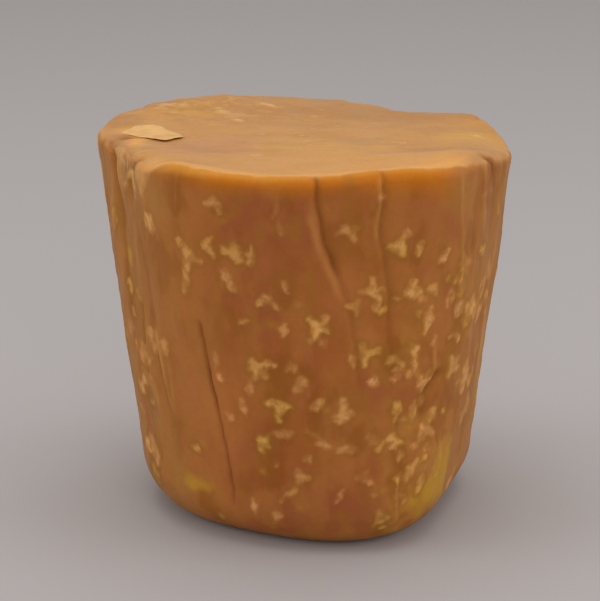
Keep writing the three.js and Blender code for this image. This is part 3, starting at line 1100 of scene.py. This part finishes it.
def make_mesh(name, places, faces, marks):
    """A smooth-shaded object with its places in its mesh and its marks as attributes."""
    mesh = bpy.data.meshes.new(name)
    mesh.from_pydata(places.tolist(), [], faces)
    for mark, values in marks.items():
        data = mesh.attributes.new(mark, "FLOAT", "POINT").data
        data.foreach_set("value", np.asarray(values, np.float32))
    mesh.shade_smooth()
    return add_object(name, mesh)


marks = {
    "groove": groove * floor_fade,
    "ridge": ridge * floor_fade,
    "fleck": fleck,
    "fleck_gold": fleck_gold,
    "fleck_pale": fleck_pale,
}
marks = marks | side_marks | top_marks | rim_marks
faces = wall_faces.tolist() + lid_faces.tolist() + fan_faces.tolist()
block = make_mesh("jaggery_skin", skin, faces, marks)
block.data.uv_layers.new(name="OFBake").uv.foreach_set("vector", layout.ravel().astype(np.float32))
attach(block, "root")
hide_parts("jaggery_block")
block.data.calc_loop_triangles()
print("the skin has", len(block.data.loop_triangles), "triangles")

# %% [markdown]
# ## The lifted flake
#
# At the front left of the top a thin flake of the dried skin has come loose and curled up. Its back
# still lies on the block, and its front edge stands half a millimetre clear, over a dark gap.
# It is a piece of its own: a lens, which is a ball squashed flat and pulled out to an angular
# outline, laid on the top and tipped forwards.

# %% The lifted flake
# The outline's corners, x and y, anticlockwise from its left end.
FLAKE_CORNERS = [
    (-49.5, 4.5),
    (-45.5, 0.5),
    (-41.5, -4.5),
    (-37.0, -7.5),
    (-32.5, -1.5),
    (-37.0, 8.5),
    (-41.5, 13.5),
    (-46.5, 12.0),
]
FLAKE_MIDDLE = np.array([-41.0, 3.0])
FLAKE_THICKNESS = 0.6
FLAKE_FORWARD = np.array([0.3, -0.95])  # the way its free edge faces
FLAKE_LOW, FLAKE_LIFT = 0.1, 0.42  # how clear its back is, and how much more its free edge
FLAKE_COLUMNS, FLAKE_ROWS = 96, 40


def flake_outline(share):
    """The outline at shares of its length, in straight runs between the corners."""
    corners = np.array(FLAKE_CORNERS + FLAKE_CORNERS[:1])
    length = np.concatenate([[0], np.cumsum(np.hypot(*np.diff(corners, axis=0).T))])
    return np.stack([np.interp(share * length[-1], length, axis) for axis in corners.T], axis=-1)


def top_height(spots):
    """The skin's height under each spot: a mean of the top's points, weighted by a narrow bell."""
    near = (on_top > 0.5) & (np.hypot(*(pushed[:, :2] - FLAKE_MIDDLE).T) < 14)
    gap = np.hypot(*(spots[:, None] - pushed[near][:, :2]).transpose(2, 0, 1))
    weight = bell(gap, 1.2) + 1e-12
    return (weight * pushed[near][:, 2]).sum(axis=1) / weight.sum(axis=1)


def flake_places():
    """A closed lens: going round gives the outline's direction, and going from the upper middle over
    the edge to the lower middle gives the share of the way out, a sine, and the thickness, a cosine."""
    around = np.arange(FLAKE_COLUMNS) / FLAKE_COLUMNS
    over = np.linspace(0, 1, FLAKE_ROWS + 1)[1:-1, None, None]
    spots = FLAKE_MIDDLE + np.sin(np.pi * over) ** 0.7 * (flake_outline(around) - FLAKE_MIDDLE)
    spots = np.concatenate([spots.reshape(-1, 2), [FLAKE_MIDDLE, FLAKE_MIDDLE]])
    thick = 0.5 * FLAKE_THICKNESS * np.cos(np.pi * over[..., 0]) + 0 * around
    thick = np.concatenate([thick.ravel(), [0.5 * FLAKE_THICKNESS, -0.5 * FLAKE_THICKNESS]])
    where = np.column_stack([spots, 0 * thick])
    spots = spots + 0.4 * np.stack([noise(where, 1.8, 5), noise(where, 1.8, 6)], axis=-1)
    forward = (spots - FLAKE_MIDDLE) @ FLAKE_FORWARD
    lift = FLAKE_LIFT * smooth(forward, -6, 9) * smooth(spots[:, 0], -49, -38)
    lift += FLAKE_LOW + 0.12 * noise(where, 4, 7)
    return np.column_stack([spots, top_height(spots) + lift + thick])


def flake_faces():
    """Quads between neighbouring rows, and a fan at the upper and at the lower middle."""
    index = np.arange((FLAKE_ROWS - 1) * FLAKE_COLUMNS).reshape(FLAKE_ROWS - 1, FLAKE_COLUMNS)
    right = np.roll(index, -1, axis=1)
    quads = np.stack([index[:-1], index[1:], right[1:], right[:-1]], axis=-1).reshape(-1, 4)
    above = np.full(FLAKE_COLUMNS, index.size)
    upper_fan = np.stack([above, index[0], right[0]], axis=1)
    lower_fan = np.stack([above + 1, right[-1], index[-1]], axis=1)
    return quads.tolist() + upper_fan.tolist() + lower_fan.tolist()


flake = make_mesh("lifted_flake", flake_places() * MM + shift, flake_faces(), {})
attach(flake, "root")
print("the flake has", len(flake.data.polygons), "faces, up to", flake.data.vertices[-2].co.z, "m high")

# %% [markdown]
# ## The material
#
# Jaggery is brown but not opaque: light goes a few millimetres in and comes out warmer, which makes
# the thin rim glow amber; that glow is also painted into the base colour. The base colour is built in
# layers, from the largest patches to the smallest marks. First come short helpers that add nodes, mix
# colours and lay one over another.


# %% Node helpers
def add_node(tree, kind, inputs=(), **settings):
    """A node with its settings, and each named input either linked to a socket or set to a value."""
    made = tree.nodes.new(kind)
    for key, value in settings.items():
        setattr(made, key, value)
    for key, value in dict(inputs).items():
        if isinstance(value, bpy.types.NodeSocket):
            tree.links.new(value, made.inputs[key])
        else:
            made.inputs[key].default_value = value
    return made


def mark_socket(tree, name):
    """The number stored on the mesh under that name."""
    return add_node(tree, "ShaderNodeAttribute", attribute_name=name).outputs["Fac"]


def between(tree, value, low, high, to_low=0.0, to_high=1.0):
    """A smooth step of value from low to high, as a share from to_low to to_high."""
    inputs = {"Value": value, 1: low, 2: high, 3: to_low, 4: to_high}
    made = add_node(tree, "ShaderNodeMapRange", inputs, interpolation_type="SMOOTHSTEP")
    return made.outputs[0]


def mix_colour(tree, share, first, second, mode="MIX"):
    """Second over first by share. A colour is a socket or three numbers."""
    made = add_node(tree, "ShaderNodeMix", {0: share}, data_type="RGBA", blend_type=mode)
    for index, colour in ((6, first), (7, second)):
        if isinstance(colour, bpy.types.NodeSocket):
            tree.links.new(colour, made.inputs[index])
        else:
            made.inputs[index].default_value = (*colour, 1)
    return made.outputs[2]


def maths(tree, operation, *values):
    """One sum of numbers or sockets, such as MULTIPLY or MAXIMUM."""
    made = add_node(tree, "ShaderNodeMath", dict(enumerate(values)), operation=operation)
    return made.outputs[0]


def lay(tree, under, over, mark, weight=1.0):
    """Over laid on under, as much as the mark on the mesh times a weight, a number or a socket."""
    return mix_colour(tree, maths(tree, "MULTIPLY", mark_socket(tree, mark), weight), under, over)


def cloud(tree, scale, stretch=(1, 1, 1), detail=3.0, roughness=0.5, shift=0.0):
    """Noise on the object's own coordinates, stretched, with scale in patches per metre."""
    where = add_node(tree, "ShaderNodeTexCoord").outputs["Object"]
    inputs = {"Vector": where, "Location": (shift, shift, shift), "Scale": stretch}
    turned = add_node(tree, "ShaderNodeMapping", inputs).outputs[0]
    inputs = {"Vector": turned, "Scale": scale, "Detail": detail, "Roughness": roughness}
    return add_node(tree, "ShaderNodeTexNoise", inputs).outputs["Fac"]


def new_material(name):
    """A material with an empty node tree."""
    made = bpy.data.materials.new(name)
    made.use_nodes = True
    made.node_tree.nodes.clear()
    return made


def finish_material(tree, grain, deep, inputs):
    """The one shader with its inputs, and a bump of the grain with its depth in metres."""
    bump = add_node(tree, "ShaderNodeBump", {"Strength": 0.3, "Distance": deep, "Height": grain})
    shader = add_node(tree, "ShaderNodeBsdfPrincipled", inputs | {"Normal": bump.outputs[0]})
    add_node(tree, "ShaderNodeOutputMaterial", {"Surface": shader.outputs[0]})


print("helpers ready")

# %% [markdown]
# The side's colour is laid on patch by patch, then mottled: jaggery is full of crystals, so there are
# small light and dark clouds in it at every scale down to a grain. The top is built the same way.
# Over both go the rim's painted amber glow and the painted highlight on its crest, the pale ridges
# and the darker valleys, partly painted shade, the painted shade of the grooves, and last the
# flecks, which are dry and so rougher than the waxy skin, each in a faint olive ring.

# %% Jaggery material
RED_BROWN = (0.365, 0.112, 0.026)
# Tan: the skin's own, and near the floor painted light.
TAN_BROWN = (0.41, 0.147, 0.034)
# Plum: the skin's own, and low at the front painted shade.
PLUM_BROWN = (0.33, 0.092, 0.032)
OLIVE_BROWN = (0.345, 0.135, 0.02)
WARM_TAN = (0.485, 0.165, 0.045)
FLANK_TAN = (0.42, 0.188, 0.046)
# Dry tan: dust, and near the floor painted light.
DRY_TAN = (0.52, 0.245, 0.052)
MUSTARD = (0.50, 0.265, 0.026)
RIDGE_TAN = (0.62, 0.305, 0.08)
# Valleys: their own darker skin, and painted shade.
VALLEY_SKIN_AND_SHADE = (0.35, 0.135, 0.018)
RUST = (0.26, 0.08, 0.009)
# Painted shade in the grooves, and the dark of the fine grain.
GROOVE_SHADE_AND_GRAIN_BROWN = (0.25, 0.075, 0.009)
# Painted glow of the thin rim: amber, turning ochre towards the crest.
PAINTED_AMBER_GLOW = (0.54, 0.165, 0.003)
PAINTED_OCHRE_GLOW = (0.60, 0.25, 0.03)
TOP_TAN = (0.545, 0.27, 0.09)
TOP_ROSE = (0.52, 0.243, 0.108)
TOP_GOLD = (0.60, 0.31, 0.075)
# Painted shade of the top, and the same darker tan in clouds.
TOP_SHADE = (0.445, 0.218, 0.077)
TOP_OLIVE = (0.42, 0.20, 0.05)
# Pale gold: a painted highlight along the rim's crest, and the pale crumbs by the flake.
PALE_GOLD_AND_HIGHLIGHT = (0.72, 0.345, 0.095)
ROSY_FLECK = (0.67, 0.30, 0.105)
GOLD_FLECK = (0.64, 0.33, 0.06)
PALE_FLECK = (0.74, 0.40, 0.15)
TOP_FLECK = (0.72, 0.42, 0.16)
RING_OLIVE = (0.28, 0.12, 0.012)


# Clouds on the side, each: colour, patches per metre, squeeze along z, shift, where they start and are
# full, and how strong they are.
SIDE_CLOUDS = [
    (OLIVE_BROWN, 150, 0.7, 0.2, 0.47, 0.63, 0.6),
    (TAN_BROWN, 110, 0.5, 0.3, 0.47, 0.63, 0.7),
    (RUST, 120, 0.6, 0.7, 0.49, 0.64, 0.55),
]
# Clouds where the top is crumbly, each: colour, patches per metre, shift and how strong.
TOP_CLOUDS = [(TOP_OLIVE, 260, 0.35, 0.7), (TOP_FLECK, 230, 0.6, 0.6)]


def side_colour(tree):
    """Red-brown with shares of tan, plum and olive, mottled with olive, tan and rust clouds; near the
    floor the tan is painted light, and low at the front the plum is painted shade. Over them lie the
    warm patches, the flanks' streaky tan, the dry tan, which is dust and near the floor painted light,
    and the mustard."""
    colour = lay(tree, RED_BROWN, TAN_BROWN, "tan")
    colour = lay(tree, colour, PLUM_BROWN, "plum", 0.75)
    colour = lay(tree, colour, OLIVE_BROWN, "olive", 0.5)
    for over, scale, squeeze, shift, start, full, most in SIDE_CLOUDS:
        clouds = between(tree, cloud(tree, scale, (1, 1, squeeze), shift=shift), start, full, 0, most)
        colour = mix_colour(tree, clouds, colour, over)
    colour = lay(tree, colour, WARM_TAN, "warm")
    streaks = between(tree, cloud(tree, 140, (1, 1, 0.15), shift=0.8), 0.35, 0.7, 0.35, 1.0)
    colour = lay(tree, colour, FLANK_TAN, "flank", streaks)
    colour = lay(tree, colour, DRY_TAN, "dust_and_floor_light", 0.5)
    return lay(tree, colour, MUSTARD, "mustard", 0.85)


def top_colour(tree):
    """Tan with shares of rose, gold and shade, faintly clouded, and mottled where it is crumbly."""
    colour = lay(tree, TOP_TAN, TOP_ROSE, "rose")
    colour = lay(tree, colour, TOP_GOLD, "top_gold")
    clouds = between(tree, cloud(tree, 70, (0.6, 1.3, 1), 4, shift=0.1), 0.42, 0.65, 0, 0.6)
    shade = maths(tree, "MAXIMUM", clouds, mark_socket(tree, "shade"))
    colour = mix_colour(tree, shade, colour, TOP_SHADE)
    for over, scale, shift, most in TOP_CLOUDS:
        clouds = between(tree, cloud(tree, scale, (0.6, 1.2, 1), shift=shift), 0.5, 0.62, 0, most)
        colour = lay(tree, colour, over, "crumbly", clouds)
    return colour


def rim_colour(tree, side, top):
    """The side turns amber and then ochre up to the rim, a painted glow, and the top ends in a painted
    pale gold highlight along the crest. Between them the edge of the pale skin is a little ragged."""
    side = lay(tree, side, lay(tree, PAINTED_AMBER_GLOW, PAINTED_OCHRE_GLOW, "ochre"), "amber", 0.9)
    # The top ends in a painted highlight along the crest, and the pale crumbs.
    top = lay(tree, top, PALE_GOLD_AND_HIGHLIGHT, "crest_highlight_and_crumbs", 0.85)
    ragged = between(tree, cloud(tree, 260), 0.3, 0.7, -0.15, 0.15)
    pale = maths(tree, "ADD", mark_socket(tree, "pale"), ragged)
    return mix_colour(tree, between(tree, pale, 0.15, 0.85), side, top)


def relief_colour(tree, colour):
    """Ridges are dusted a pale tan. Valleys are darker, partly their own darker skin and partly painted
    shade, and the grooves get painted shade.
    """
    ridge = mark_socket(tree, "ridge")
    colour = mix_colour(tree, between(tree, ridge, 0.05, 1.0, 0, 0.6), colour, RIDGE_TAN)
    # Valleys get a darker brown: partly their own skin, partly painted shade.
    valley = between(tree, maths(tree, "MULTIPLY", ridge, -1.0), 0.1, 0.9, 0, 0.7)
    colour = mix_colour(tree, valley, colour, VALLEY_SKIN_AND_SHADE)
    # Painted shade in the grooves.
    return lay(tree, colour, GROOVE_SHADE_AND_GRAIN_BROWN, "groove")


def fleck_layers(tree, colour):
    """Flecks over the colour, soft at the edge and clouded inside, each in an olive ring if golden.
    Also gives how far inside a fleck a point is, for the roughness."""
    ragged = between(tree, cloud(tree, 550, detail=2, shift=0.5), 0.3, 0.7, -0.2, 0.2)
    edge = maths(tree, "ADD", mark_socket(tree, "fleck"), ragged)
    colour = lay(tree, colour, RING_OLIVE, "fleck_gold", between(tree, edge, -1.7, -0.1, 0, 0.6))
    inside = between(tree, edge, -0.5, 0.85)
    cloudy = between(tree, cloud(tree, 380, detail=2, shift=0.9), 0.35, 0.65, 0.4, 1.0)
    fleck = lay(tree, ROSY_FLECK, GOLD_FLECK, "fleck_gold")
    fleck = mix_colour(tree, between(tree, edge, 0.3, 1.2, 0, 0.5), fleck, PALE_FLECK)
    fleck = mix_colour(tree, between(tree, mark_socket(tree, "pale"), 0.9, 1.0), fleck, TOP_FLECK)
    return lay(tree, colour, fleck, "fleck_pale", maths(tree, "MULTIPLY", inside, cloudy)), inside


def jaggery_material():
    """The layered colour, its roughness and its fine bump, on one shader."""
    made = new_material("cast_jaggery")
    tree = made.node_tree
    colour = rim_colour(tree, side_colour(tree), top_colour(tree))
    colour, inside = fleck_layers(tree, relief_colour(tree, colour))
    grain = cloud(tree, 700, detail=4, roughness=0.6)
    shine = between(tree, cloud(tree, 90, detail=2), 0.3, 0.7, 0.45, 0.62)
    inputs = {
        "Base Color": mix_colour(tree, between(tree, grain, 0.3, 0.7, 0, 0.1), colour, GROOVE_SHADE_AND_GRAIN_BROWN),
        "Roughness": maths(tree, "ADD", shine, maths(tree, "MULTIPLY", inside, 0.15)),
        "Subsurface Weight": 0.2,
        "Subsurface Radius": (1.0, 0.4, 0.15),
        "Subsurface Scale": 0.004,
        "IOR": 1.5,
        "Specular IOR Level": 0.1,
    }
    finish_material(tree, grain, 0.0004, inputs)
    return made


block.data.materials.append(jaggery_material())
print("material with", len(block.data.materials[0].node_tree.nodes), "nodes")

# %% [markdown]
# The flake is the same sugar, dried right through. It is paler than the top it lies on and matt, a
# little darker and warmer in clouds, and so thin that light shows through its edge.

# %% Flake material
FLAKE_PALE = (0.73, 0.41, 0.15)
FLAKE_WARM = (0.63, 0.33, 0.105)


def flake_material():
    """Two pale tans in clouds, with a grainy bump."""
    made = new_material("dried_flake")
    tree = made.node_tree
    clouds = between(tree, cloud(tree, 160, detail=4, shift=0.4), 0.42, 0.68)
    grain = cloud(tree, 900)
    inputs = {
        "Base Color": mix_colour(tree, clouds, FLAKE_PALE, FLAKE_WARM),
        "Roughness": between(tree, grain, 0.3, 0.7, 0.55, 0.75),
        "Subsurface Weight": 0.25,
        "Subsurface Radius": (1.0, 0.5, 0.2),
        "Subsurface Scale": 0.002,
        "Specular IOR Level": 0.22,
    }
    finish_material(tree, grain, 0.0003, inputs)
    return made


flake.data.materials.append(flake_material())
print("flake material ready")

# %% [markdown]
# ## The floor
#
# The block stands on a wide plain floor, pale and matt, that also fills the view behind it.

# %% Floor
FLOOR_GREY = (0.42, 0.39, 0.385, 1)
FLOOR_ROUGHNESS = 0.9


def make_floor(size, level):
    """A plain square floor, large enough to fill the view behind the block."""
    corners = np.array([(x * size, y * size, level) for x, y in ((-1, -1), (1, -1), (1, 1), (-1, 1))])
    made = make_mesh("floor", corners, [(0, 1, 2, 3)], {})
    material = bpy.data.materials.new("plain_floor")
    material.use_nodes = True
    shader = material.node_tree.nodes["Principled BSDF"]
    shader.inputs["Base Color"].default_value = FLOOR_GREY
    shader.inputs["Roughness"].default_value = FLOOR_ROUGHNESS
    made.data.materials.append(material)
    return made


make_floor(4.0, cad_box[0][2])
print("floor at", cad_box[0][2])

# %% [markdown]
# ## The light
#
# One big soft light hangs overhead, with weaker ones in front and at the sides, as on a table in a
# bright room. Large lights leave soft shadows, so the creases read without going black.


# %% Lights
ROOM_WHITE = (1.0, 0.98, 0.96, 1)
ROOM_STRENGTH = 0.55
# Each: name, place, height of the point it aims at, size and power.
LIGHTS = [
    ("overhead", (0.0, 0.0, 1.1), 0.06, 0.9, 4.5),
    ("front_fill", (0.2, -1.3, 0.5), 0.05, 0.9, 4.0),
    ("left_fill", (-1.0, -0.2, 0.4), 0.05, 0.6, 2.5),
    ("right_fill", (1.0, -0.2, 0.4), 0.05, 0.6, 2.5),
]


def soft_light(name, place, aim, size, watts):
    """A square area light at a place, turned so that it faces the point it aims at."""
    data = bpy.data.lights.new(name, "AREA")
    data.shape, data.size, data.energy = "SQUARE", size, watts
    made = add_object(name, data)
    made.location = place
    away = np.array(aim) - np.array(place)
    level = math.hypot(away[0], away[1])
    made.rotation_euler = (math.atan2(level, -away[2]), 0, math.atan2(-away[0], away[1]))


world = bpy.data.worlds.new("room")
world.use_nodes = True
room = world.node_tree.nodes["Background"].inputs
room["Color"].default_value, room["Strength"].default_value = ROOM_WHITE, ROOM_STRENGTH
bpy.context.scene.world = world
for name, place_at, aim_height, size, watts in LIGHTS:
    soft_light(name, place_at, (0, 0, aim_height), size, watts)
bpy.context.scene.view_settings.view_transform = "Standard"

# %% [markdown]
# ## The camera
#
# The camera looks down a little at the block, with a long lens from near enough that the wide top
# still looks wider than the base.


# %% Camera
def make_camera(distance, elevation, middle, lens, shift):
    """A camera in front of the block, at an elevation in degrees, looking at its middle."""
    data = bpy.data.cameras.new("camera")
    data.lens, data.shift_x, data.shift_y = lens, *shift
    data.clip_start, data.clip_end = 0.05, 20
    made = add_object("camera", data)
    tilt = math.radians(elevation)
    back = (0.0, -distance * math.cos(tilt), distance * math.sin(tilt))
    made.location = np.add(middle, back)
    made.rotation_euler = (math.pi / 2 - tilt, 0, 0)
    bpy.context.scene.camera = made


make_camera(distance=0.66, elevation=16.2, middle=(0, 0, 0.0505), lens=147, shift=(-0.0068, 0.0265))
print("camera ready")
